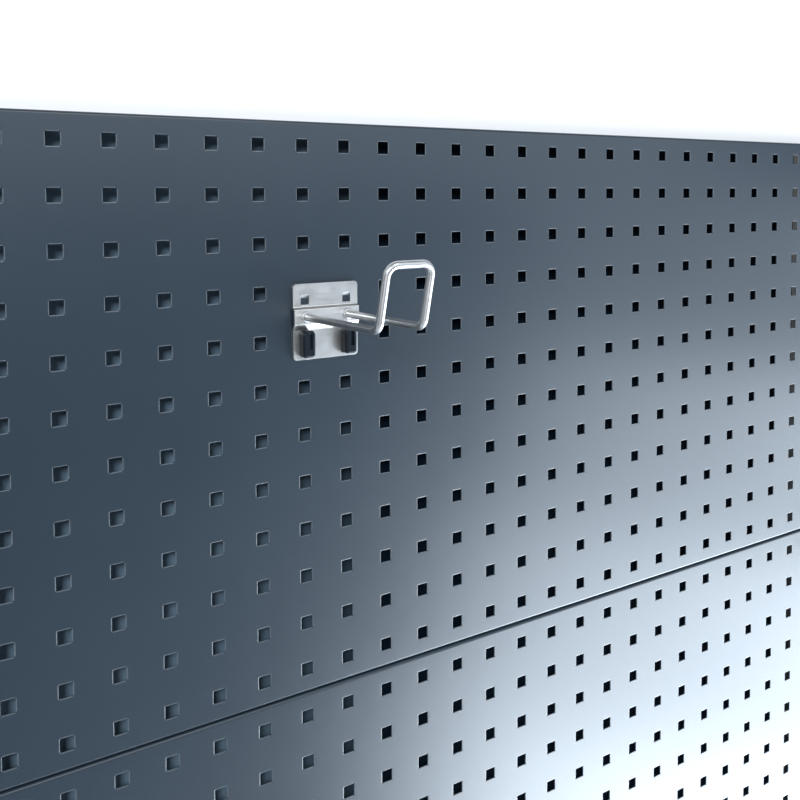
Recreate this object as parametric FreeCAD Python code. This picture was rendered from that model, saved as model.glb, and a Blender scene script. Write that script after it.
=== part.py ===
import FreeCAD, Part
import os
from math import sin, tan

# Perforated tool wall: two folded steel panels screwed to two wall rails, with one lockable tool hook.
# Millimetres. X runs along the wall, Y goes into the wall, Z is up. The origin is on the wall plane,
# midway between the rails and at the seam between the two panels.

# Panels
HOLE_PITCH = 38.0
HOLE_SIDE = 10.0
HOLE_COLUMNS = 26
HOLE_ROWS = 12
SHEET = 1.25
PANEL_DEPTH = 18.0
RETURN_DEPTH = 17.5
BEND_RADIUS = 2.5
SEAM_GAP = 1.0

PANEL_WIDTH = HOLE_PITCH * HOLE_COLUMNS
PANEL_HEIGHT = HOLE_PITCH * HOLE_ROWS
SHEET_FRONT = -PANEL_DEPTH
SHEET_BACK = SHEET_FRONT + SHEET
FIRST_ROW = SEAM_GAP / 2 + HOLE_PITCH / 2
LAST_ROW = FIRST_ROW + HOLE_PITCH * (HOLE_ROWS - 1)
OUTER_COLUMN = PANEL_WIDTH / 2 - HOLE_PITCH / 2

# Wall rails, lipped channels behind the outermost hole columns
RAIL_WIDTH = 30.0
RAIL_WALL = 2.0
RAIL_SLOT = 14.0
RAIL_HALF_LENGTH = 448.0
RAIL_PASSAGE = 34.0
CAP_THICKNESS = 2.0
CAP_PLUG = 4.0
CAP_GRIP = 0.15
WALL_HOLE_RADIUS = 3.5
WALL_HOLE_HEIGHTS = (FIRST_ROW + HOLE_PITCH, LAST_ROW - HOLE_PITCH)

# Panel fasteners
SCREW_RADIUS = 3.0
SCREW_LENGTH = 13.0
HEAD_RADIUS = 5.25
HEAD_HEIGHT = 3.3
SOCKET_FLATS = 4.0
SOCKET_DEPTH = 2.0
WASHER_SIDE = 16.0
WASHER_THICKNESS = 2.0
SHOULDER_SIDE = 9.7
SHOULDER_THICKNESS = 1.2
NUT_SIZE = (24.0, 6.0, 12.0)
THREAD_CLEARANCE = 0.05

# Tool hook
HOOK_X = -5 * HOLE_PITCH
HOOK_COLUMNS = (HOOK_X - HOLE_PITCH / 2, HOOK_X + HOLE_PITCH / 2)
TAB_ROW = FIRST_ROW + 8 * HOLE_PITCH
LOCK_ROW = FIRST_ROW + 7 * HOLE_PITCH
SLIDE_GAP = 0.05
PLATE_SHEET = 2.0
PLATE_WIDTH = 59.0
PLATE_TOP = TAB_ROW + 6.0
PLATE_BOTTOM = LOCK_ROW - 16.0
PLATE_CORNER = 3.0
STEP_OUT = 2.4
STEP_TOP = PLATE_TOP - 20.6
STEP_HEIGHT = 14.8
UPPER_STEP_RUN = 1.5
LOWER_STEP_RUN = 4.0
WINDOW_WIDTH = 7.5
WINDOW_HEIGHT = 7.8
TAB_WIDTH = 7.3
TAB_LEG = 4.5
TAB_DROP = 2.35
LEG_GAP = 0.3
ROD_RADIUS = 3.0
ARM_HEIGHT = TAB_ROW - 20.0
ARM_CORNER_REACH = 107.4
BAR_REACH = 119.0
BAR_HEIGHT = ARM_HEIGHT + 46.7
ROD_BEND = 8.5
WELD_RADIUS = 4.8
WELD_LENGTH = 1.9

# Lockers on the hook
LOCKER_WIDTH = 10.6
LOCKER_HEIGHT = 21.4
LOCKER_DEPTH = 8.0
LOCKER_TOP = LOCK_ROW + 7.8
LOCKER_CORNER = 3.0
GROOVE_WIDTH = 3.0
GROOVE_HEIGHT = 12.0
GROOVE_DEPTH = 2.0
GROOVE_DROP = 2.6
PEG_WIDTH = 9.0
PEG_HEIGHT = 4.7
PEG_BACK = -14.2
TONGUE_WIDTH = 6.0
PLATE_SLOT = (9.2, 10.0)


def box(x0, x1, y0, y1, z0, z1):
    """A block between two corners."""
    return Part.makeBox(x1 - x0, y1 - y0, z1 - z0, FreeCAD.Vector(x0, y0, z0))


def rod_y(x, z, radius, y0, y1):
    """A round bar or hole along Y."""
    return Part.makeCylinder(radius, y1 - y0, FreeCAD.Vector(x, y0, z), FreeCAD.Vector(0, 1, 0))


def group(solids):
    """Separate solids that share one node."""
    return Part.makeCompound(solids)


def edges_where(shape, test):
    """The edges whose two ends both pass a test."""
    return [e for e in shape.Edges if all(test(v.Point) for v in e.Vertexes)]


def export(node, shape):
    """Writes one node's STEP file."""
    shape.exportStep("parts/" + node + ".step")


def panel(z_low, z_high, seam_side):
    """One perforated panel: a sheet with four returned edges and a square hole on every grid point."""
    half = PANEL_WIDTH / 2
    back = SHEET_FRONT + RETURN_DEPTH
    front_edges = lambda shape, y: edges_where(shape, lambda p: abs(p.y - y) < 1e-6)
    outer = box(-half, half, SHEET_FRONT, back, z_low, z_high)
    outer = outer.makeFillet(BEND_RADIUS, front_edges(outer, SHEET_FRONT))
    inner = box(-half + SHEET, half - SHEET, SHEET_BACK, back + 1, z_low + SHEET, z_high - SHEET)
    inner = inner.makeFillet(BEND_RADIUS - SHEET, front_edges(inner, SHEET_BACK))
    tray = outer.cut(inner)
    holes = []
    for column in range(HOLE_COLUMNS):
        x = -OUTER_COLUMN + column * HOLE_PITCH
        for row in range(HOLE_ROWS):
            z = z_low + HOLE_PITCH / 2 + row * HOLE_PITCH
            holes.append(square_hole(x, z))
    z_return = z_low if seam_side == "bottom" else z_high
    for x in (-OUTER_COLUMN, OUTER_COLUMN):
        reach = BEND_RADIUS + 1
        holes.append(box(x - RAIL_PASSAGE / 2, x + RAIL_PASSAGE / 2, SHEET_BACK, back + 1,
                         z_return - reach, z_return + reach))
    return tray.cut(Part.makeCompound(holes))


def square_hole(x, z):
    """The block that a square peg hole removes from the sheet."""
    half = HOLE_SIDE / 2
    return box(x - half, x + half, SHEET_FRONT - 1, SHEET_BACK + 1, z - half, z + half)


def rail(x):
    """A lipped channel: web on the wall, lips against the back of the panel sheet."""
    half = RAIL_WIDTH / 2
    body = box(x - half, x + half, SHEET_BACK, 0, -RAIL_HALF_LENGTH, RAIL_HALF_LENGTH)
    hollow = box(x - half + RAIL_WALL, x + half - RAIL_WALL, SHEET_BACK + RAIL_WALL, -RAIL_WALL,
                 -RAIL_HALF_LENGTH - 1, RAIL_HALF_LENGTH + 1)
    slot = box(x - RAIL_SLOT / 2, x + RAIL_SLOT / 2, SHEET_BACK - 1, SHEET_BACK + RAIL_WALL + 1,
               -RAIL_HALF_LENGTH - 1, RAIL_HALF_LENGTH + 1)
    body = body.cut(hollow).cut(slot)
    for height in WALL_HOLE_HEIGHTS:
        for z in (-height, height):
            body = body.cut(rod_y(x, z, WALL_HOLE_RADIUS, -RAIL_WALL - 1, 1))
    return body


def rail_cap(x, side):
    """A plastic end cap: a cover plate and a plug that grips inside the channel."""
    half = RAIL_WIDTH / 2
    inside = RAIL_WALL + CAP_GRIP
    z_end = side * RAIL_HALF_LENGTH
    z_out = z_end + side * CAP_THICKNESS
    z_in = z_end - side * CAP_PLUG
    plate = box(x - half, x + half, SHEET_BACK, 0, min(z_end, z_out), max(z_end, z_out))
    plug = box(x - half + inside, x + half - inside, SHEET_BACK + inside, -inside,
               min(z_end, z_in), max(z_end, z_in))
    core = box(x - half + 2 * inside, x + half - 2 * inside, SHEET_BACK + 2 * inside, -2 * inside,
               min(z_end, z_in) - 1, max(z_end, z_in) + 1)
    end_face = box(x - half, x + half, SHEET_BACK, 0, min(z_end, z_out), max(z_end, z_out))
    return plate.fuse(plug.cut(core.cut(end_face))).removeSplitter()


def panel_screw(x, z):
    """A button-head machine screw with a hexagon socket."""
    seat = SHEET_FRONT - WASHER_THICKNESS
    shank = rod_y(x, z, SCREW_RADIUS, seat - 1, seat + SCREW_LENGTH)
    head = rod_y(x, z, HEAD_RADIUS, seat - HEAD_HEIGHT, seat)
    rim = [e for e in head.Edges if abs(e.CenterOfMass.y - (seat - HEAD_HEIGHT)) < 1e-6]
    head = head.makeFillet(HEAD_HEIGHT * 0.7, rim)
    points = []
    for corner in range(7):
        turn = FreeCAD.Rotation(FreeCAD.Vector(0, 1, 0), 60.0 * corner)
        arm = turn.multVec(FreeCAD.Vector(SOCKET_FLATS / 3 ** 0.5, 0, 0))
        points.append(arm + FreeCAD.Vector(x, seat - HEAD_HEIGHT - 1, z))
    socket = Part.Face(Part.makePolygon(points)).extrude(FreeCAD.Vector(0, SOCKET_DEPTH + 1, 0))
    return head.fuse(shank).cut(socket).removeSplitter()


def square_washer(x, z):
    """A square washer whose shoulder sits in the peg hole and centres the screw."""
    half = WASHER_SIDE / 2
    shoulder = SHOULDER_SIDE / 2
    plate = box(x - half, x + half, SHEET_FRONT - WASHER_THICKNESS, SHEET_FRONT, z - half, z + half)
    plate = plate.makeFillet(2.0, upright_edges(plate))
    key = box(x - shoulder, x + shoulder, SHEET_FRONT - 0.5, SHEET_FRONT + SHOULDER_THICKNESS,
              z - shoulder, z + shoulder)
    bore = rod_y(x, z, SCREW_RADIUS + 0.2, SHEET_FRONT - WASHER_THICKNESS - 1, SHEET_BACK + 1)
    return plate.fuse(key).cut(bore).removeSplitter()


def upright_edges(shape):
    """The edges of a block that run along Y."""
    return [e for e in shape.Edges if abs(e.Vertexes[0].Point.y - e.Vertexes[-1].Point.y) > 1e-6]


def channel_nut(x, z):
    """A block nut that bears on the back of the rail's lips."""
    width, depth, height = NUT_SIZE
    front = SHEET_BACK + RAIL_WALL + SLIDE_GAP
    block = box(x - width / 2, x + width / 2, front, front + depth, z - height / 2, z + height / 2)
    block = block.makeFillet(2.0, upright_edges(block))
    return block.cut(rod_y(x, z, SCREW_RADIUS + THREAD_CLEARANCE, front - 1, front + depth + 1))


def fastener_places(side):
    """The four corner holes of a panel that take its screws; side is 1 for the upper panel, -1 for the lower."""
    return [(x, side * z) for x in (-OUTER_COLUMN, OUTER_COLUMN) for z in (FIRST_ROW, LAST_ROW)]


def thickened(points, thickness):
    """A strip of sheet in the YZ plane: its back follows the points, its front is offset towards -Y."""
    front = []
    for i, point in enumerate(points):
        before = points[max(i - 1, 0)]
        after = points[min(i + 1, len(points) - 1)]
        first = (point - before) if i > 0 else (after - point)
        second = (after - point) if i < len(points) - 1 else first
        n1 = FreeCAD.Vector(0, first.z, -first.y).normalize()
        n2 = FreeCAD.Vector(0, second.z, -second.y).normalize()
        mitre = (n1 + n2).normalize()
        front.append(point + mitre * (thickness / mitre.dot(n1)))
    outline = points + front[::-1] + [points[0]]
    return Part.Face(Part.makePolygon(outline))


def hook_plate():
    """The hook's back plate: a stepped strip with two lanced tabs, two rod holes and two locker slots."""
    back = SHEET_FRONT - SLIDE_GAP
    out = back - STEP_OUT
    x0 = HOOK_X - PLATE_WIDTH / 2
    profile = [(back, PLATE_TOP), (back, STEP_TOP), (out, STEP_TOP - UPPER_STEP_RUN),
               (out, STEP_TOP - STEP_HEIGHT + LOWER_STEP_RUN), (back, STEP_TOP - STEP_HEIGHT),
               (back, PLATE_BOTTOM)]
    points = [FreeCAD.Vector(x0, y, z) for y, z in profile]
    plate = thickened(points, PLATE_SHEET).extrude(FreeCAD.Vector(PLATE_WIDTH, 0, 0))
    outline = box(x0, x0 + PLATE_WIDTH, out - PLATE_SHEET - 1, back + 1, PLATE_BOTTOM, PLATE_TOP)
    plate = plate.common(outline.makeFillet(PLATE_CORNER, upright_edges(outline)))
    tab_low = TAB_ROW - HOLE_SIDE / 2 + SLIDE_GAP
    window_top = tab_low + TAB_DROP
    for x in HOOK_COLUMNS:
        plate = plate.cut(box(x - WINDOW_WIDTH / 2, x + WINDOW_WIDTH / 2, out - 5, back + 1,
                              window_top - WINDOW_HEIGHT, window_top))
        plate = plate.cut(rod_y(x, ARM_HEIGHT, ROD_RADIUS + SLIDE_GAP, out - 5, back + 1))
        plate = plate.cut(box(x - PLATE_SLOT[0] / 2, x + PLATE_SLOT[0] / 2, out - 5, back + 1,
                              LOCK_ROW - PLATE_SLOT[1] / 2, LOCK_ROW + PLATE_SLOT[1] / 2))
        plate = plate.fuse(hanging_tab(x, back, tab_low))
    return plate.removeSplitter()


def hanging_tab(x, back, tab_low):
    """A tab bent back out of the plate: it drops onto the hole's lower edge and turns down behind the sheet."""
    front = back - PLATE_SHEET
    leg_front = SHEET_BACK + LEG_GAP
    leg_back = leg_front + PLATE_SHEET
    tab_high = tab_low + PLATE_SHEET
    window_top = tab_low + TAB_DROP
    outline = [(front, window_top), (back, tab_low), (leg_front, tab_low), (leg_front, tab_low - TAB_LEG),
               (leg_back, tab_low - TAB_LEG), (leg_back, tab_high), (back + PLATE_SHEET / 2, tab_high),
               (back, tab_high + PLATE_SHEET * 0.7), (back, window_top + PLATE_SHEET),
               (front, window_top + PLATE_SHEET), (front, window_top)]
    points = [FreeCAD.Vector(x - TAB_WIDTH / 2, y, z) for y, z in outline]
    tab = Part.Face(Part.makePolygon(points)).extrude(FreeCAD.Vector(TAB_WIDTH, 0, 0))
    bend = edges_where(tab, lambda p: abs(p.y - leg_back) < 1e-6 and abs(p.z - tab_high) < 1e-6)
    return tab.makeFillet(PLATE_SHEET * 0.9, bend)


def filleted_path(corners, radius):
    """Straight runs joined by tangent arcs."""
    edges = []
    start = corners[0]
    for i in range(1, len(corners) - 1):
        corner = corners[i]
        inward = (corners[i - 1] - corner).normalize()
        onward = (corners[i + 1] - corner).normalize()
        half_angle = inward.getAngle(onward) / 2
        tangent = radius / tan(half_angle)
        middle = (inward + onward).normalize() * (radius / sin(half_angle) - radius)
        enter = corner + inward * tangent
        leave = corner + onward * tangent
        edges.append(Part.LineSegment(start, enter).toShape())
        edges.append(Part.Arc(enter, corner + middle, leave).toShape())
        start = leave
    edges.append(Part.LineSegment(start, corners[-1]).toShape())
    return Part.Wire(edges)


def hook_rod():
    """One round rod: two arms out from the plate, turned up and joined by a crossbar."""
    left, right = HOOK_COLUMNS
    rear = SHEET_FRONT - SLIDE_GAP - STEP_OUT - 0.2
    corner_y = SHEET_FRONT - ARM_CORNER_REACH
    bar_y = SHEET_FRONT - BAR_REACH
    corners = [FreeCAD.Vector(left, rear, ARM_HEIGHT), FreeCAD.Vector(left, corner_y, ARM_HEIGHT),
               FreeCAD.Vector(left, bar_y, BAR_HEIGHT), FreeCAD.Vector(right, bar_y, BAR_HEIGHT),
               FreeCAD.Vector(right, corner_y, ARM_HEIGHT), FreeCAD.Vector(right, rear, ARM_HEIGHT)]
    path = filleted_path(corners, ROD_BEND)
    section = Part.Wire([Part.Circle(corners[0], FreeCAD.Vector(0, 1, 0), ROD_RADIUS).toShape()])
    return path.makePipeShell([section], True, False)


def weld(x):
    """The weld bead round an arm where it leaves the plate."""
    seat = SHEET_FRONT - SLIDE_GAP - STEP_OUT - PLATE_SHEET
    cone = Part.makeCone(WELD_RADIUS, ROD_RADIUS + 0.3, WELD_LENGTH, FreeCAD.Vector(x, seat, ARM_HEIGHT),
                         FreeCAD.Vector(0, -1, 0))
    return cone.cut(rod_y(x, ARM_HEIGHT, ROD_RADIUS, seat - WELD_LENGTH - 1, seat + 1))


def locker(x):
    """A moulded locker: a grooved grip on the plate and a peg through the plate into the peg hole below."""
    seat = SHEET_FRONT - 2 * SLIDE_GAP - PLATE_SHEET
    face = seat - LOCKER_DEPTH
    half = LOCKER_WIDTH / 2
    grip = box(x - half, x + half, face, seat, LOCKER_TOP - LOCKER_HEIGHT, LOCKER_TOP)
    tops = [e for e in upright_edges(grip) if e.Vertexes[0].Point.z > LOCKER_TOP - 1]
    grip = grip.makeFillet(LOCKER_CORNER, tops)
    rim = [e for e in grip.Edges if abs(e.CenterOfMass.y - face) < 1e-6]
    grip = grip.makeFillet(0.8, rim)
    groove_top = LOCKER_TOP - GROOVE_DROP
    grip = grip.cut(box(x - GROOVE_WIDTH / 2, x + GROOVE_WIDTH / 2, face - 1, face + GROOVE_DEPTH,
                        groove_top - GROOVE_HEIGHT, groove_top))
    peg_low = LOCK_ROW - HOLE_SIDE / 2 + 0.4
    peg = box(x - PEG_WIDTH / 2, x + PEG_WIDTH / 2, seat - 0.5, PEG_BACK, peg_low, peg_low + PEG_HEIGHT)
    nose = edges_where(peg, lambda p: abs(p.y - PEG_BACK) < 1e-6)
    return grip.fuse(peg.makeChamfer(0.6, nose)).removeSplitter()


def snap_tongue(x):
    """The springy tongue above the peg: it fills the rest of the peg hole and gives way when the hook lifts."""
    seat = SHEET_FRONT - 2 * SLIDE_GAP - PLATE_SHEET
    peg_high = LOCK_ROW - HOLE_SIDE / 2 + 0.4 + PEG_HEIGHT
    half = TONGUE_WIDTH / 2
    low = peg_high + 0.2
    blade = box(x - half, x + half, seat, PEG_BACK, low, LOCK_ROW + HOLE_SIDE / 2 - 0.6)
    nose = edges_where(blade, lambda p: abs(p.y - PEG_BACK) < 1e-6 and p.z > low + 1)
    return blade.makeFillet(1.5, nose)


def main():
    """Builds and exports every node."""
    os.makedirs("parts", exist_ok=True)
    half_gap = SEAM_GAP / 2
    export("upper_panel", panel(half_gap, half_gap + PANEL_HEIGHT, "bottom"))
    export("lower_panel", panel(-half_gap - PANEL_HEIGHT, -half_gap, "top"))
    for name, x in (("left", -OUTER_COLUMN), ("right", OUTER_COLUMN)):
        export(name + "_wall_rail", rail(x))
        export(name + "_rail_top_cap", rail_cap(x, 1))
        export(name + "_rail_bottom_cap", rail_cap(x, -1))
    for name, side in (("upper", 1), ("lower", -1)):
        places = fastener_places(side)
        export(name + "_panel_screws", group([panel_screw(x, z) for x, z in places]))
        export(name + "_panel_washers", group([square_washer(x, z) for x, z in places]))
        export(name + "_channel_nuts", group([channel_nut(x, z) for x, z in places]))
    export("hook_plate", hook_plate())
    export("hook_rod", hook_rod())
    for name, x in zip(("left", "right"), HOOK_COLUMNS):
        export(name + "_weld", weld(x))
        export(name + "_locker", locker(x))
        export(name + "_snap_tongue", snap_tongue(x))


main()
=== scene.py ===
from math import atan2, cos, pi, radians, sin, tan

import bmesh
import bpy
from mathutils import Matrix, Vector


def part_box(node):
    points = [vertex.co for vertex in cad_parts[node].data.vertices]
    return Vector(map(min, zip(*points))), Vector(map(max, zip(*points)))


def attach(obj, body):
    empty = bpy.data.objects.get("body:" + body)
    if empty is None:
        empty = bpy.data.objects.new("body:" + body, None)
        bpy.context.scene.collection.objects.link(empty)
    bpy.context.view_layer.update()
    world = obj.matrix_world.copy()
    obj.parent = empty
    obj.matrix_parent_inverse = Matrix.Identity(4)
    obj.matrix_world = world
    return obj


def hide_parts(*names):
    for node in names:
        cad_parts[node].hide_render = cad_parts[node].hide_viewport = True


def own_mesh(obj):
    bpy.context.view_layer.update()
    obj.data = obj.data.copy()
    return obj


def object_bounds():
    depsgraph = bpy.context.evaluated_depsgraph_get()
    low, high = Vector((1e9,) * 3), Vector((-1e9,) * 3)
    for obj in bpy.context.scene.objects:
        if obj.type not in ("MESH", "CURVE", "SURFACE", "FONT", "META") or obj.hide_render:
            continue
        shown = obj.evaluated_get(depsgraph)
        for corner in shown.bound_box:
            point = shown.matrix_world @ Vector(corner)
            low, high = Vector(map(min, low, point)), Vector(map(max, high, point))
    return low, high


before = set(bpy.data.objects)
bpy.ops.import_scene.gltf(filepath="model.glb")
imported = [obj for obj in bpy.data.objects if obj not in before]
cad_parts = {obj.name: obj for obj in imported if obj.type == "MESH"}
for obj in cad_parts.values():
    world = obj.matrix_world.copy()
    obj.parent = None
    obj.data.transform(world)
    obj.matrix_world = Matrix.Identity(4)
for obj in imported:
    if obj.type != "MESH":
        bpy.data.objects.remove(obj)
cad_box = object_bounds()
wall_low, wall_high = cad_box

# ---------------------------------------------------------------------------------------------
# The room: one pale sheet that runs along the floor and turns up behind the tool wall, as a
# painted wall would. Its back lets sight through, so that the wall's rear can be looked at too.
# ---------------------------------------------------------------------------------------------
FLOOR_DROP = 1.5
ROOM_DEPTH = 3.2
ROOM_HALF_WIDTH = 2.6
ROOM_HEIGHT = 1.3
WALL_STAND_OFF = 0.001


def deselect():
    """Nothing is selected, so that the next operator acts only on what it is given."""
    if bpy.context.object and bpy.context.object.mode != "OBJECT":
        bpy.ops.object.mode_set(mode="OBJECT")
    bpy.ops.object.select_all(action="DESELECT")


def edit(piece):
    """Opens a piece for mesh work with nothing selected."""
    deselect()
    bpy.context.view_layer.objects.active = piece
    piece.select_set(True)
    bpy.ops.object.mode_set(mode="EDIT")
    bpy.ops.mesh.select_all(action="DESELECT")


def pick(piece, kind, test):
    """Selects the vertices, edges or faces whose middle passes the test, and nothing else."""
    mesh = bmesh.from_edit_mesh(piece.data)
    bpy.context.tool_settings.mesh_select_mode = (kind == "verts", kind == "edges", kind == "faces")
    bpy.ops.mesh.select_all(action="DESELECT")
    for item in getattr(mesh, kind):
        if kind == "verts":
            middle = item.co
        elif kind == "edges":
            middle = (item.verts[0].co + item.verts[1].co) / 2
        else:
            middle = item.calc_center_median()
        if test(middle, item):
            item.select_set(True)
    mesh.select_flush_mode()
    bmesh.update_edit_mesh(piece.data)


def settle(piece):
    """Leaves mesh work and puts the piece's place into its mesh."""
    deselect()
    bpy.context.view_layer.objects.active = piece
    piece.select_set(True)
    bpy.ops.object.transform_apply(location=True, rotation=True, scale=True)


def new_piece(name, add, **where):
    """Adds a primitive under a name, with nothing else selected."""
    deselect()
    add(**where)
    piece = bpy.context.object
    piece.name = piece.data.name = name
    settle(piece)
    return piece


def modify(piece, kind, **settings):
    """Adds one modifier and applies it."""
    deselect()
    bpy.context.view_layer.objects.active = piece
    piece.select_set(True)
    modifier = piece.modifiers.new(kind.title(), kind)
    for name, value in settings.items():
        setattr(modifier, name, value)
    bpy.ops.object.modifier_apply(modifier=modifier.name)


def smooth(piece, angle=35):
    """Shades a piece smooth, with sharper edges kept crisp and its flat faces kept flat."""
    deselect()
    bpy.context.view_layer.objects.active = piece
    piece.select_set(True)
    bpy.ops.object.shade_smooth_by_angle(angle=radians(angle))
    modify(piece, "WEIGHTED_NORMAL", weight=50, keep_sharp=True)


def material(name, **sockets):
    """A new principled material with its even values set on the shader's own sockets."""
    made = bpy.data.materials.new(name)
    made.use_nodes = True
    shader = made.node_tree.nodes["Principled BSDF"]
    for socket, value in sockets.items():
        shader.inputs[socket.replace("_", " ")].default_value = value
    return made, made.node_tree, shader


def node(tree, kind, **values):
    """A shader node with properties or input defaults set by name."""
    made = tree.nodes.new(kind)
    for name, value in values.items():
        if hasattr(made, name):
            setattr(made, name, value)
        else:
            made.inputs[name.replace("_", " ")].default_value = value
    return made


def one_sided(name, colour, roughness):
    """A stage paint seen from the front, which lets the view and the rear light pass from behind."""
    made, tree, shader = material(name, Base_Color=colour, Roughness=roughness)
    clear = node(tree, "ShaderNodeBsdfTransparent")
    side = node(tree, "ShaderNodeNewGeometry")
    mix = node(tree, "ShaderNodeMixShader")
    output = tree.nodes["Material Output"]
    ray = node(tree, "ShaderNodeLightPath")
    either = node(tree, "ShaderNodeMath", operation="MAXIMUM")
    tree.links.new(side.outputs["Backfacing"], either.inputs[0])
    tree.links.new(ray.outputs["Is Shadow Ray"], either.inputs[1])
    tree.links.new(either.outputs[0], mix.inputs["Fac"])
    tree.links.new(shader.outputs[0], mix.inputs[1])
    tree.links.new(clear.outputs[0], mix.inputs[2])
    tree.links.new(mix.outputs[0], output.inputs["Surface"])
    return made


floor_z = wall_low.z - FLOOR_DROP
room = new_piece("room", bpy.ops.mesh.primitive_plane_add, size=1,
                 location=(0, WALL_STAND_OFF - ROOM_DEPTH / 2, floor_z))
room.data.transform(Matrix.Translation((0, WALL_STAND_OFF - ROOM_DEPTH / 2, floor_z))
                    @ Matrix.Diagonal((2 * ROOM_HALF_WIDTH, ROOM_DEPTH, 1, 1))
                    @ Matrix.Translation((0, ROOM_DEPTH / 2 - WALL_STAND_OFF, -floor_z)))
edit(room)
pick(room, "edges", lambda middle, item: middle.y > WALL_STAND_OFF - 1e-4)
bpy.ops.mesh.extrude_region_move(
    TRANSFORM_OT_translate={"value": (0, 0, wall_high.z + ROOM_HEIGHT - floor_z)})
deselect()
room.data.materials.append(one_sided("room_paint", (0.78, 0.79, 0.8, 1), 0.9))

# Painted shade: a dark sheet just behind the panels, painted darker from left to right for their shade.
DARK_MARGIN = 0.004
SHADE_FADE = (-0.3, -0.12)
SHADE_LIGHT = (0.13, 0.19, 0.25, 1)
SHADE_DARK = (0.003, 0.008, 0.016, 1)

dark = new_piece("painted_shade_sheet", bpy.ops.mesh.primitive_plane_add, size=1,
                 rotation=(pi / 2, 0, 0))
dark.data.transform(Matrix.Translation((0, WALL_STAND_OFF / 2, (wall_low.z + wall_high.z) / 2))
                    @ Matrix.Diagonal((wall_high.x - wall_low.x - 2 * DARK_MARGIN, 1,
                                       wall_high.z - wall_low.z - 2 * DARK_MARGIN, 1)))
shade = one_sided("painted_wall_shade", (0.1, 0.12, 0.14, 1), 0.9)
shade_shader = shade.node_tree.nodes["Principled BSDF"]
shade_shader.inputs["Specular IOR Level"].default_value = 0.05
shade_place = node(shade.node_tree, "ShaderNodeTexCoord")
shade_split = node(shade.node_tree, "ShaderNodeSeparateXYZ")
shade_fade = node(shade.node_tree, "ShaderNodeMapRange", From_Min=SHADE_FADE[0],
                  From_Max=SHADE_FADE[1])
# The painted shade's tone, from SHADE_LIGHT at the left to SHADE_DARK at the right.
shade_tone = node(shade.node_tree, "ShaderNodeMix", data_type="RGBA")
shade_tone.inputs[6].default_value = SHADE_LIGHT
shade_tone.inputs[7].default_value = SHADE_DARK
shade.node_tree.links.new(shade_place.outputs["Object"], shade_split.inputs[0])
shade.node_tree.links.new(shade_split.outputs["X"], shade_fade.inputs["Value"])
shade.node_tree.links.new(shade_fade.outputs[0], shade_tone.inputs[0])
shade.node_tree.links.new(shade_tone.outputs[2], shade_shader.inputs["Base Color"])
dark.data.materials.append(shade)

# ---------------------------------------------------------------------------------------------
# The panels: thin sheet steel, punched with a square hole on every grid point, with its four
# edges folded back over a rounded bend, and powder coated in satin anthracite. The punch rolls
# each hole's rim over a little, and the rim's coat is painted paler as a painted highlight.
# ---------------------------------------------------------------------------------------------
HOLE_PITCH = 0.038
HOLE_SIDE = 0.010
HOLE_CORNER = 0.0007
SHEET = 0.00125
BEND = 0.0025
BEND_STEPS = 5
RIM_ROLL = 0.0007
RIM_DROP = 0.00024
RIM_BREAK = 0.00012
RAIL_PASSAGE = 0.034
TINY = 1e-5


def powder_coat(name, darker, lighter):
    """Satin anthracite powder coat: a fine orange peel and faint mottling."""
    made, tree, shader = material(name, Metallic=0.0, IOR=1.52)
    place = node(tree, "ShaderNodeTexCoord")
    grain = node(tree, "ShaderNodeTexNoise", Scale=900.0, Detail=2.0, Roughness=0.5)
    cloud = node(tree, "ShaderNodeTexNoise", Scale=7.0, Detail=3.0, Roughness=0.55)
    tint = node(tree, "ShaderNodeMix", data_type="RGBA")
    tint.inputs[6].default_value = darker
    tint.inputs[7].default_value = lighter
    gloss = node(tree, "ShaderNodeMapRange", To_Min=0.26, To_Max=0.31)
    bump = node(tree, "ShaderNodeBump", Strength=0.12, Distance=0.00005)
    for made_noise in (grain, cloud):
        tree.links.new(place.outputs["Object"], made_noise.inputs["Vector"])
    tree.links.new(cloud.outputs["Fac"], tint.inputs[0])
    tree.links.new(cloud.outputs["Fac"], gloss.inputs["Value"])
    tree.links.new(grain.outputs["Fac"], bump.inputs["Height"])
    tree.links.new(tint.outputs[2], shader.inputs["Base Color"])
    tree.links.new(gloss.outputs[0], shader.inputs["Roughness"])
    tree.links.new(bump.outputs[0], shader.inputs["Normal"])
    return made


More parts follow.
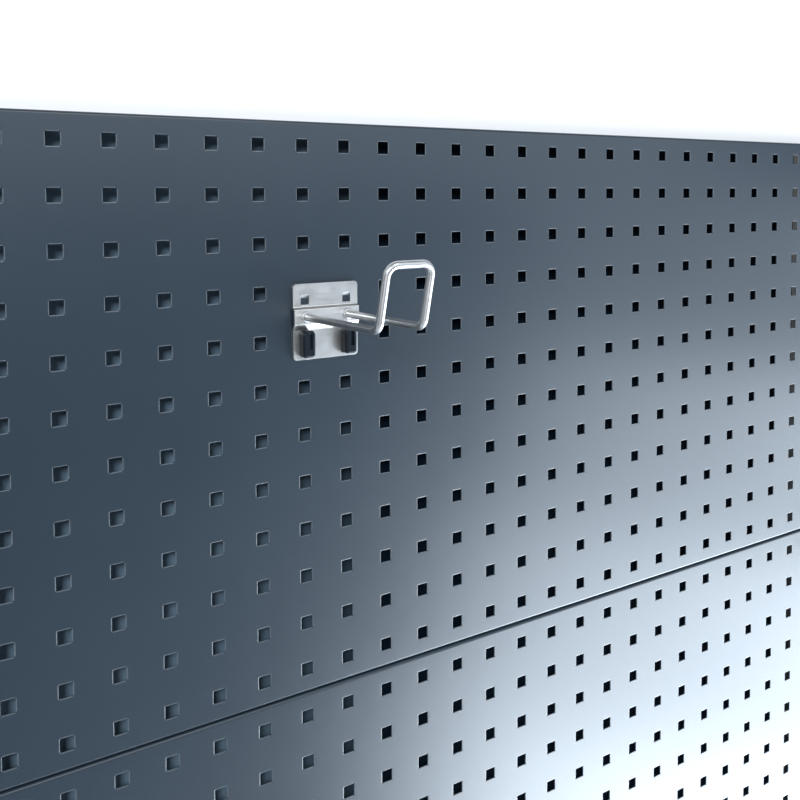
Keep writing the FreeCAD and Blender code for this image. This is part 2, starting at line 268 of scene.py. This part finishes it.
def perforated_panel(name, low, high, seam_z):
    """Punches one grid cell, repeats it, then folds the four edges back."""
    columns = round((high.x - low.x) / HOLE_PITCH)
    rows = round((high.z - low.z) / HOLE_PITCH)
    first = Vector((low.x + HOLE_PITCH / 2, low.y, low.z + HOLE_PITCH / 2))
    panel = new_piece(name, bpy.ops.mesh.primitive_plane_add, size=HOLE_PITCH, location=first,
                      rotation=(pi / 2, 0, 0))
    panel.data.materials.append(coat)
    panel.data.materials.append(rim_highlight_coat)
    edit(panel)
    bpy.ops.mesh.select_all(action="SELECT")
    bpy.ops.mesh.inset(thickness=(HOLE_PITCH - HOLE_SIDE) / 2 - RIM_ROLL)
    bpy.ops.mesh.bevel(offset=HOLE_CORNER + RIM_ROLL / 2, segments=2, affect="VERTICES")
    pick(panel, "faces", lambda middle, item: (middle - first).length < HOLE_SIDE / 3)
    bpy.ops.mesh.inset(thickness=RIM_ROLL)
    bpy.ops.transform.translate(value=(0, RIM_DROP, 0))
    bpy.ops.mesh.delete(type="FACE")
    # The rolled rims get the paler coat, a painted highlight for the light they catch.
    pick(panel, "faces", lambda middle, item: (middle - first).length < HOLE_SIDE / 2 + RIM_ROLL)
    panel.active_material_index = 1
    bpy.ops.object.material_slot_assign()
    deselect()
    for count, step in ((columns, (HOLE_PITCH, 0, 0)), (rows, (0, 0, HOLE_PITCH))):
        modify(panel, "ARRAY", count=count, use_relative_offset=False, use_constant_offset=True,
               constant_offset_displace=step, use_merge_vertices=True, merge_threshold=TINY)
    edit(panel)
    for axis, edge, inward in ((0, low.x, BEND), (0, high.x, -BEND),
                               (2, low.z, BEND), (2, high.z, -BEND)):
        pick(panel, "verts", lambda at, item: abs(at[axis] - edge) < TINY)
        shift = Vector((0, 0, 0))
        shift[axis] = inward
        bpy.ops.transform.translate(value=shift)
    flat_low = Vector((low.x + BEND, 0, low.z + BEND))
    flat_high = Vector((high.x - BEND, 0, high.z - BEND))
    pick(panel, "edges", lambda middle, item: item.is_boundary and (
        min(middle.x - flat_low.x, flat_high.x - middle.x, middle.z - flat_low.z,
            flat_high.z - middle.z) < TINY))
    centre = (low + high) / 2
    reach, depth = 0.0, 0.0
    half_x, half_z = (flat_high.x - flat_low.x) / 2, (flat_high.z - flat_low.z) / 2
    for step in range(1, BEND_STEPS + 1):
        turn = pi / 2 * step / BEND_STEPS
        next_reach, next_depth = BEND * sin(turn), BEND * (1 - cos(turn))
        bpy.ops.mesh.extrude_region_move(TRANSFORM_OT_translate={"value": (0, next_depth - depth, 0)})
        grow = ((half_x + next_reach) / (half_x + reach), 1, (half_z + next_reach) / (half_z + reach))
        bpy.ops.transform.resize(value=grow, center_override=centre)
        reach, depth = next_reach, next_depth
    bpy.ops.mesh.extrude_region_move(TRANSFORM_OT_translate={"value": (0, high.y - low.y - BEND, 0)})
    rail_column = high.x - HOLE_PITCH / 2
    at_seam = lambda middle: abs(middle.z - seam_z) < BEND / 2 and middle.y > low.y + SHEET
    for side in (-1, 1):
        for end in (-1, 1):
            pick(panel, "faces", lambda middle, item: at_seam(middle))
            bpy.ops.mesh.bisect(plane_co=(side * rail_column + end * RAIL_PASSAGE / 2, 0, 0),
                                plane_no=(1, 0, 0))
        pick(panel, "faces", lambda middle, item: at_seam(middle)
             and abs(middle.x - side * rail_column) < RAIL_PASSAGE / 2)
        bpy.ops.mesh.delete(type="FACE")
    deselect()
    modify(panel, "SOLIDIFY", thickness=SHEET, offset=-1, use_even_offset=True)
    modify(panel, "BEVEL", width=RIM_BREAK, segments=1, limit_method="ANGLE", angle_limit=radians(40))
    smooth(panel)
    return panel


coat = powder_coat("panel_powder_coat", (0.012, 0.021, 0.032, 1), (0.0145, 0.0255, 0.0375, 1))
# The hole rims' paler coat is a painted highlight for light caught on the rolled rims.
rim_highlight_coat = powder_coat("painted_rim_highlight", (0.05, 0.065, 0.08, 1), (0.075, 0.09, 0.105, 1))
for side in ("upper", "lower"):
    low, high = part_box(side + "_panel")
    seam = low.z if side == "upper" else high.z
    panel = perforated_panel(side + "_sheet", low, high, seam)
    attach(panel, "wall")
    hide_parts(side + "_panel")

# ---------------------------------------------------------------------------------------------
# Rails, nuts, screws and washers: rolled and machined steel with a clear zinc plating. The rail
# ends are closed with moulded plastic caps.
# ---------------------------------------------------------------------------------------------


def zinc(name, colour, rough_low, rough_high, grain_scale, stretch):
    """Zinc-plated steel: a soft metal with fine drawn lines and cloudy spangle."""
    made, tree, shader = material(name, Metallic=1.0, Anisotropic=0.25)
    place = node(tree, "ShaderNodeTexCoord")
    turn = node(tree, "ShaderNodeMapping", Scale=stretch)
    lines = node(tree, "ShaderNodeTexNoise", Scale=grain_scale, Detail=4.0, Roughness=0.6)
    cloud = node(tree, "ShaderNodeTexNoise", Scale=90.0, Detail=3.0, Roughness=0.6)
    both = node(tree, "ShaderNodeMath", operation="ADD")
    tone = node(tree, "ShaderNodeMix", data_type="RGBA")
    tone.inputs[6].default_value = tuple(c * 0.86 for c in colour) + (1,)
    tone.inputs[7].default_value = tuple(min(c * 1.08, 1) for c in colour) + (1,)
    gloss = node(tree, "ShaderNodeMapRange", From_Min=0.7, From_Max=1.3, To_Min=rough_low,
                 To_Max=rough_high)
    bump = node(tree, "ShaderNodeBump", Strength=0.25, Distance=0.00003)
    tree.links.new(place.outputs["Object"], turn.inputs["Vector"])
    tree.links.new(turn.outputs[0], lines.inputs["Vector"])
    tree.links.new(place.outputs["Object"], cloud.inputs["Vector"])
    tree.links.new(lines.outputs["Fac"], both.inputs[0])
    tree.links.new(cloud.outputs["Fac"], both.inputs[1])
    tree.links.new(cloud.outputs["Fac"], tone.inputs[0])
    tree.links.new(both.outputs[0], gloss.inputs["Value"])
    tree.links.new(lines.outputs["Fac"], bump.inputs["Height"])
    tree.links.new(tone.outputs[2], shader.inputs["Base Color"])
    tree.links.new(gloss.outputs[0], shader.inputs["Roughness"])
    tree.links.new(bump.outputs[0], shader.inputs["Normal"])
    return made


def moulded_plastic(name, colour, roughness, shine):
    """Moulded plastic with a fine eroded texture and a slightly uneven gloss."""
    made, tree, shader = material(name, Specular_IOR_Level=shine, IOR=1.49)
    place = node(tree, "ShaderNodeTexCoord")
    grain = node(tree, "ShaderNodeTexNoise", Scale=2600.0, Detail=2.0, Roughness=0.6)
    cloud = node(tree, "ShaderNodeTexNoise", Scale=160.0, Detail=2.0, Roughness=0.5)
    tint = node(tree, "ShaderNodeMix", data_type="RGBA")
    tint.inputs[6].default_value = tuple(c * 0.85 for c in colour) + (1,)
    tint.inputs[7].default_value = tuple(c * 1.2 for c in colour) + (1,)
    gloss = node(tree, "ShaderNodeMapRange", To_Min=roughness - 0.06, To_Max=roughness + 0.06)
    bump = node(tree, "ShaderNodeBump", Strength=0.2, Distance=0.00004)
    for noise in (grain, cloud):
        tree.links.new(place.outputs["Object"], noise.inputs["Vector"])
    tree.links.new(cloud.outputs["Fac"], tint.inputs[0])
    tree.links.new(cloud.outputs["Fac"], gloss.inputs["Value"])
    tree.links.new(grain.outputs["Fac"], bump.inputs["Height"])
    tree.links.new(tint.outputs[2], shader.inputs["Base Color"])
    tree.links.new(gloss.outputs[0], shader.inputs["Roughness"])
    tree.links.new(bump.outputs[0], shader.inputs["Normal"])
    return made


def dress(node_name, finish):
    """Gives a CAD node its finish."""
    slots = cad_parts[node_name].data.materials
    slots.clear()
    slots.append(finish)


rail_zinc = zinc("rail_zinc_plate", (0.60, 0.62, 0.64), 0.3, 0.42, 500.0, (1, 1, 0.03))
screw_zinc = zinc("screw_zinc_plate", (0.62, 0.63, 0.64), 0.22, 0.32, 900.0, (1, 1, 1))
cap_plastic = moulded_plastic("cap_plastic", (0.03, 0.032, 0.036), 0.5, 0.5)
for side in ("left", "right"):
    dress(side + "_wall_rail", rail_zinc)
    for end in ("top", "bottom"):
        dress(f"{side}_rail_{end}_cap", cap_plastic)
for side in ("upper", "lower"):
    dress(side + "_panel_screws", screw_zinc)
    dress(side + "_panel_washers", screw_zinc)
    dress(side + "_channel_nuts", screw_zinc)

# ---------------------------------------------------------------------------------------------
# The hook plate: zinc-plated sheet, folded out and back in across its middle, with rounded
# corners. Two tabs are cut from its upper part and bent back, which leaves two square windows.
# ---------------------------------------------------------------------------------------------
PLATE_SHEET = 0.002
PLATE_CORNER = 0.003
PLATE_ROUND = 0.0006
STEP_OUT = 0.0024
FOLD_ROUND = 0.0012
WINDOW_HALF = 0.00375
WINDOW_TOP = 0.0086
WINDOW_BOTTOM = 0.0164
PEG_SLOT = (0.0046, 0.049, 0.039)
PLATE_PLAY = 0.00005
UPPER_FOLD = (0.0184, 0.0199)
LOWER_FOLD = (0.032, 0.036)
TAB_DROP = 0.00235
TAB_REACH = 0.0016
TAB_LEG = 0.0045

plate_low, plate_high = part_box("hook_plate")
hook_x = (plate_low.x + plate_high.x) / 2
columns = (hook_x - HOLE_PITCH / 2, hook_x + HOLE_PITCH / 2)
plate_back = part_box("upper_panel")[0].y - PLATE_PLAY
plate_front = plate_back - PLATE_SHEET
top = plate_high.z
upper_fold = tuple(top - drop for drop in UPPER_FOLD)
lower_fold = tuple(top - drop for drop in LOWER_FOLD)
plate = new_piece("folded_hook_plate", bpy.ops.mesh.primitive_plane_add, size=1,
                  rotation=(pi / 2, 0, 0))
plate.data.transform(Matrix.Translation((hook_x, plate_front, (plate_low.z + top) / 2))
                     @ Matrix.Diagonal((plate_high.x - plate_low.x, 1, top - plate_low.z, 1)))
edit(plate)
cuts = [((x + side * WINDOW_HALF, 0, 0), (1, 0, 0)) for x in columns for side in (-1, 1)]
cuts += [((x + side * PEG_SLOT[0], 0, 0), (1, 0, 0)) for x in columns for side in (-1, 1)]
cuts += [((0, 0, top - drop), (0, 0, 1))
         for drop in (WINDOW_TOP, WINDOW_BOTTOM, PEG_SLOT[1], PEG_SLOT[2])]
cuts += [((0, 0, z), (0, 0, 1)) for z in upper_fold + lower_fold]
for place, direction in cuts:
    bpy.ops.mesh.select_all(action="SELECT")
    bpy.ops.mesh.bisect(plane_co=place, plane_no=direction)
pick(plate, "faces", lambda middle, item: any(abs(middle.x - x) < WINDOW_HALF for x in columns)
     and top - WINDOW_BOTTOM < middle.z < top - WINDOW_TOP)
bpy.ops.mesh.delete(type="FACE")
pick(plate, "faces", lambda middle, item: any(abs(middle.x - x) < PEG_SLOT[0] for x in columns)
     and top - PEG_SLOT[1] < middle.z < top - PEG_SLOT[2])
bpy.ops.mesh.delete(type="FACE")
pick(plate, "verts", lambda at, item: lower_fold[0] - TINY < at.z < upper_fold[1] + TINY)
bpy.ops.transform.translate(value=(0, -STEP_OUT, 0))
tab_steps = ((0, PLATE_SHEET, -TAB_DROP), (0, TAB_REACH, 0), (0, 0, -TAB_LEG))
pick(plate, "edges", lambda middle, item: item.is_boundary and abs(middle.z - (top - WINDOW_TOP)) < TINY
     and any(abs(middle.x - x) < WINDOW_HALF - TINY for x in columns))
for step in tab_steps:
    bpy.ops.mesh.extrude_region_move(TRANSFORM_OT_translate={"value": step})
corner = lambda at, item: (min(at.x - plate_low.x, plate_high.x - at.x) < TINY
                           and min(at.z - plate_low.z, plate_high.z - at.z) < TINY)
pick(plate, "verts", corner)
bpy.ops.mesh.bevel(offset=PLATE_CORNER, segments=6, affect="VERTICES")
pick(plate, "edges", lambda middle, item: abs(item.verts[0].co.z - item.verts[1].co.z) < TINY
     and any(abs(middle.z - z) < TINY for z in upper_fold + lower_fold))
bpy.ops.mesh.bevel(offset=FOLD_ROUND * 0.55, segments=3, affect="EDGES")
deselect()
plate_zinc = zinc("hook_plate_zinc", (0.55, 0.556, 0.55), 0.30, 0.42, 700.0, (0.05, 1, 1))
plate.data.materials.append(plate_zinc)
modify(plate, "SOLIDIFY", thickness=PLATE_SHEET, offset=-1, use_even_offset=True)
modify(plate, "BEVEL", width=PLATE_ROUND, segments=3, limit_method="ANGLE", angle_limit=radians(50))
smooth(plate)
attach(plate, "hook")
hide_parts("hook_plate")

# ---------------------------------------------------------------------------------------------
# The rod: one round bar, bent cold into two arms, two leaning uprights and a crossbar, bright
# zinc plated. Its rear ends pass into the plate, where they are welded.
# ---------------------------------------------------------------------------------------------
ROD_RADIUS = 0.003
ROD_BEND = 0.0085
UPRIGHT_LEAN = 0.0116
ARM_DROP = 0.026
BAR_RISE = 0.0467
BAR_REACH = 0.119
ROD_SIDES = 32
BEND_SEGMENTS = 12

arm_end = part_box("hook_rod")[1].y
arm_z = plate_high.z - ARM_DROP
bar_z = arm_z + BAR_RISE
bar_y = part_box("upper_panel")[0].y - BAR_REACH
corners = [Vector((columns[0], arm_end, arm_z)), Vector((columns[0], bar_y + UPRIGHT_LEAN, arm_z)),
           Vector((columns[0], bar_y, bar_z)), Vector((columns[1], bar_y, bar_z)),
           Vector((columns[1], bar_y + UPRIGHT_LEAN, arm_z)), Vector((columns[1], arm_end, arm_z))]
rod = new_piece("bent_hook_rod", bpy.ops.mesh.primitive_circle_add, vertices=ROD_SIDES,
                radius=ROD_RADIUS, fill_type="NGON", location=corners[0], rotation=(pi / 2, 0, 0))
edit(rod)
bpy.ops.mesh.select_all(action="SELECT")
here = corners[0]
for before, corner, after in zip(corners, corners[1:], corners[2:]):
    inward = (corner - before).normalized()
    onward = (after - corner).normalized()
    turn = inward.angle(onward)
    axis = inward.cross(onward).normalized()
    enter = corner - inward * ROD_BEND * tan(turn / 2)
    centre = enter + axis.cross(inward) * ROD_BEND
    bpy.ops.mesh.extrude_region_move(TRANSFORM_OT_translate={"value": enter - here})
    bpy.ops.mesh.spin(steps=BEND_SEGMENTS, angle=-turn, center=centre, axis=axis)
    here = corner + onward * ROD_BEND * tan(turn / 2)
bpy.ops.mesh.extrude_region_move(TRANSFORM_OT_translate={"value": corners[-1] - here})
bpy.ops.mesh.select_all(action="SELECT")
bpy.ops.mesh.remove_doubles(threshold=TINY / 10)
bpy.ops.mesh.normals_make_consistent(inside=False)
deselect()
smooth(rod, 40)
rod.data.materials.append(zinc("rod_bright_zinc", (0.49, 0.50, 0.51), 0.30, 0.40, 1200.0, (1, 1, 1)))
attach(rod, "hook")
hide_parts("hook_rod")

# ---------------------------------------------------------------------------------------------
# The welds: a short bead run round each arm where it leaves the plate, rippled where the torch
# paused, and plated over with the rest of the hook.
# ---------------------------------------------------------------------------------------------
WELD_RING = 0.0034
WELD_BEAD = 0.00105
WELD_RIPPLES = 14
WELD_RIPPLE_HEIGHT = 0.06

weld_zinc = zinc("weld_zinc", (0.52, 0.53, 0.53), 0.3, 0.45, 1500.0, (1, 1, 1))
for name, x in zip(("left", "right"), columns):
    seat = Vector((x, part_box(name + "_weld")[1].y, arm_z))
    bead = new_piece(name + "_weld_bead", bpy.ops.mesh.primitive_torus_add, major_radius=WELD_RING,
                     minor_radius=WELD_BEAD, major_segments=56, minor_segments=12, location=seat,
                     rotation=(pi / 2, 0, 0))
    for point in bead.data.vertices:
        out = point.co - seat
        around = atan2(out.z, out.x)
        ring = Vector((cos(around), 0, sin(around))) * WELD_RING
        ripple = 1 + WELD_RIPPLE_HEIGHT * sin(WELD_RIPPLES * around + 1.5 * sin(3 * around))
        point.co = seat + ring + (out - ring) * ripple
        point.co.y = min(point.co.y, seat.y)
    smooth(bead, 60)
    bead.data.materials.append(weld_zinc)
    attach(bead, "hook")
    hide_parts(name + "_weld")

# ---------------------------------------------------------------------------------------------
# The lockers: black moulded grips with a finger groove. Each pushes a peg through the plate
# into the peg hole behind it, and a springy tongue above the peg keeps the hook from lifting.
# ---------------------------------------------------------------------------------------------
LOCKER_HALF_WIDTH = 0.0053
LOCKER_HEIGHT = 0.0214
LOCKER_PLAY = 0.00005
LOCKER_TOP_CORNER = 0.0038
LOCKER_FOOT_CORNER = 0.0026
LOCKER_RIM = 0.0018
LOCKER_EDGE = 0.0002
GROOVE_OFFSET = 0.0008
GROOVE_HALF = 0.0015
GROOVE_TOP = 0.0026
GROOVE_HEIGHT = 0.0122
GROOVE_DEPTH = 0.0018
PEG_HALF = 0.0045
PEG_HEIGHT = 0.0047
PEG_ROUND = 0.0005
PEG_TO_TONGUE = 0.0002
TONGUE_NOSE = 0.0015
TONGUE_EDGE = 0.0002

locker_plastic = moulded_plastic("locker_plastic", (0.005, 0.0085, 0.014), 0.3, 0.22)


def block(name, low, high):
    """A plain block between two corners, ready to be shaped."""
    made = new_piece(name, bpy.ops.mesh.primitive_cube_add, size=1)
    made.data.transform(Matrix.Translation((low + high) / 2) @ Matrix.Diagonal((*(high - low), 1)))
    return made


for name, x in zip(("left", "right"), columns):
    low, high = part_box(name + "_locker")
    seat_y = plate_front - LOCKER_PLAY
    grip_low = Vector((x - LOCKER_HALF_WIDTH, low.y, low.z))
    grip_high = Vector((x + LOCKER_HALF_WIDTH, seat_y, low.z + LOCKER_HEIGHT))
    grip = block(name + "_locker_grip", grip_low, grip_high)
    edit(grip)
    along_y = lambda item: abs(item.verts[0].co.y - item.verts[1].co.y) > LOCKER_RIM
    pick(grip, "edges", lambda middle, item: along_y(item) and middle.z > grip_high.z - TINY)
    bpy.ops.mesh.bevel(offset=LOCKER_TOP_CORNER, segments=8, affect="EDGES")
    pick(grip, "edges", lambda middle, item: along_y(item) and middle.z < grip_low.z + TINY)
    bpy.ops.mesh.bevel(offset=LOCKER_FOOT_CORNER, segments=6, affect="EDGES")
    pick(grip, "edges", lambda middle, item: abs(middle.y - grip_low.y) < TINY)
    bpy.ops.mesh.bevel(offset=LOCKER_RIM, segments=5, affect="EDGES")
    front = lambda item: abs(item.calc_center_median().y - grip_low.y) < TINY
    groove_x = x + GROOVE_OFFSET
    groove_high = grip_high.z - GROOVE_TOP
    for place, direction in (((groove_x - GROOVE_HALF, 0, 0), (1, 0, 0)),
                             ((groove_x + GROOVE_HALF, 0, 0), (1, 0, 0)),
                             ((0, 0, groove_high), (0, 0, 1)),
                             ((0, 0, groove_high - GROOVE_HEIGHT), (0, 0, 1))):
        pick(grip, "faces", lambda middle, item: front(item))
        bpy.ops.mesh.bisect(plane_co=place, plane_no=direction)
    pick(grip, "faces", lambda middle, item: front(item) and abs(middle.x - groove_x) < GROOVE_HALF
         and groove_high - GROOVE_HEIGHT < middle.z < groove_high)
    bpy.ops.mesh.extrude_region_move(TRANSFORM_OT_translate={"value": (0, GROOVE_DEPTH, 0)})
    bpy.ops.transform.resize(value=(0.8, 1, 0.94))
    deselect()
    modify(grip, "BEVEL", width=LOCKER_EDGE, segments=2, limit_method="ANGLE", angle_limit=radians(40))
    peg_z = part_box(name + "_snap_tongue")[0].z - PEG_TO_TONGUE
    peg = block(name + "_locker_peg", Vector((x - PEG_HALF, seat_y, peg_z - PEG_HEIGHT)),
                Vector((x + PEG_HALF, high.y, peg_z)))
    modify(peg, "BEVEL", width=PEG_ROUND, segments=3)
    deselect()
    peg.select_set(True)
    grip.select_set(True)
    bpy.context.view_layer.objects.active = grip
    bpy.ops.object.join()
    smooth(grip, 35)
    grip.data.materials.append(locker_plastic)
    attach(grip, "locker_" + name)
    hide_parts(name + "_locker")

    tongue_low, tongue_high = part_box(name + "_snap_tongue")
    tongue = block(name + "_tongue", tongue_low, tongue_high)
    edit(tongue)
    pick(tongue, "edges", lambda middle, item: abs(middle.y - tongue_high.y) < TINY
         and abs(middle.z - tongue_high.z) < TINY)
    bpy.ops.mesh.bevel(offset=TONGUE_NOSE, segments=6, affect="EDGES")
    deselect()
    modify(tongue, "BEVEL", width=TONGUE_EDGE, segments=2, limit_method="ANGLE",
           angle_limit=radians(40))
    smooth(tongue, 35)
    tongue.data.materials.append(locker_plastic)
    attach(tongue, "locker_" + name)
    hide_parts(name + "_snap_tongue")
    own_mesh(tongue)

# ---------------------------------------------------------------------------------------------
# Studio: cool soft boxes on the right that the satin coat mirrors, strongest low down, fainter ones
# in front and above, a key high on the left for the metal's edges, and one behind for the rear.
# ---------------------------------------------------------------------------------------------


COOL = (0.8, 0.9, 1.0)
DAYLIGHT = (0.93, 0.97, 1.0)


def soft_box(name, place, aim, width, height, power, colour=(1, 1, 1)):
    """A rectangular area lamp at a place, turned to face a point."""
    lamp = bpy.data.lights.new(name, "AREA")
    lamp.shape = "RECTANGLE"
    lamp.size, lamp.size_y = width, height
    lamp.energy = power
    lamp.color = colour
    holder = bpy.data.objects.new(name, lamp)
    bpy.context.scene.collection.objects.link(holder)
    holder.location = place
    holder.rotation_euler = (Vector(aim) - Vector(place)).to_track_quat("-Z", "Y").to_euler()
    holder.visible_camera = False
    return holder


soft_box("right_low_box", (1.48, -0.70, -1.05), (0.1, 0, 0.1), 1.9, 1.1, 74, COOL)
soft_box("right_floor_box", (1.4, -0.8, -1.5), (0.3, 0, 0), 1.4, 0.9, 30, COOL)
soft_box("right_middle_box", (1.93, -0.79, -0.38), (0.1, 0, 0.1), 2.1, 0.55, 22, COOL)
soft_box("right_upper_box", (2.0, -0.83, 0.135), (0.1, 0, 0.1), 2.1, 0.55, 5.5, COOL)
soft_box("front_strip_box", (0.81, -1.96, 0.87), (0, 0, 0.2), 3.0, 0.9, 15, COOL)
soft_box("top_box", (0.32, -1.85, 1.74), (-0.3, 0, 0.2), 1.2, 0.8, 15)
soft_box("left_low_box", (-1.5, -2.06, -0.57), (-0.3, 0, 0.2), 0.9, 0.6, 9)
soft_box("left_key_box", (-1.9, -2.4, 1.4), (-0.1, 0, 0.15), 0.7, 0.7, 76, DAYLIGHT)
soft_box("rear_box", (-0.9, 1.9, 0.9), (0, 0, 0.1), 1.8, 1.4, 26)
surround = bpy.data.worlds.new("studio")
surround.use_nodes = True
surround.node_tree.nodes["Background"].inputs["Color"].default_value = (0.92, 0.95, 1.0, 1)
surround.node_tree.nodes["Background"].inputs["Strength"].default_value = 0.25
bpy.context.scene.world = surround
bpy.context.scene.view_settings.view_transform = "Standard"

camera = bpy.data.objects.new("camera", bpy.data.cameras.new("camera"))
bpy.context.scene.collection.objects.link(camera)
camera.location = (-0.5834, -0.6959, 0.3970)
camera.rotation_euler = (radians(86.92), radians(0.31), radians(-34.56))
camera.data.lens = 44.3
camera.data.shift_y = -0.1875
camera.data.clip_start = 0.01
bpy.context.scene.camera = camera
